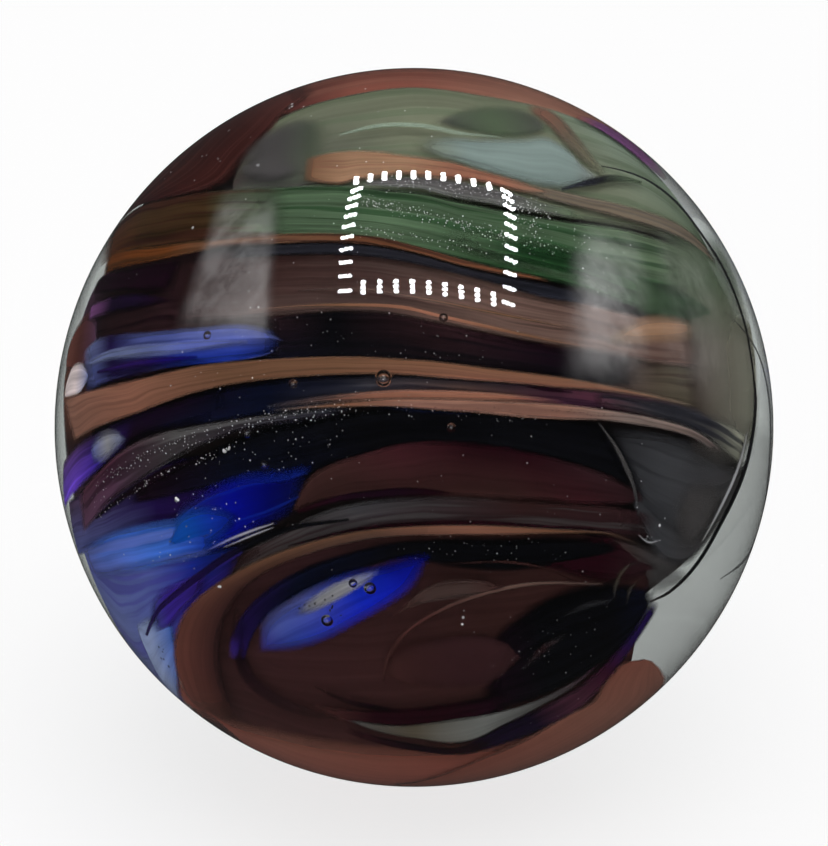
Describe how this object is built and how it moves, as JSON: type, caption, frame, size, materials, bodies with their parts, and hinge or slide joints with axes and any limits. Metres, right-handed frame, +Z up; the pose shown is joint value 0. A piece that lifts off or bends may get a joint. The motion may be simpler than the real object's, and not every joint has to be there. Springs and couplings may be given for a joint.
{
  "type": "glass marble",
  "caption": "Solid glass ball with swirled brown, black, green and blue glass and small air bubbles, for games, decoration or display.",
  "frame": {"origin": "centre of the ball", "axes": "+Z up, -Y to the front; the middle of the face in the picture is 28 degrees above the horizon at the front, and +X is to its right"},
  "size_m": [0.016, 0.016, 0.016],
  "materials": {
    "swirl_glass": "polished, fire-smooth",
    "clear_glass": "polished, fire-smooth",
    "brown_glass": "streaked, seen through clear glass",
    "black_glass": "streaked, seen through clear glass",
    "green_glass": "streaked with fine sparkling flecks",
    "blue_glass": "streaked, seen through clear glass",
    "tan_glass": "streaked, seen through clear glass",
    "grey_glass": "smoky, seen through clear glass"
  },
  "bodies": {
    "root": {"marble": "swirl_glass"}
  },
  "joints": []
}
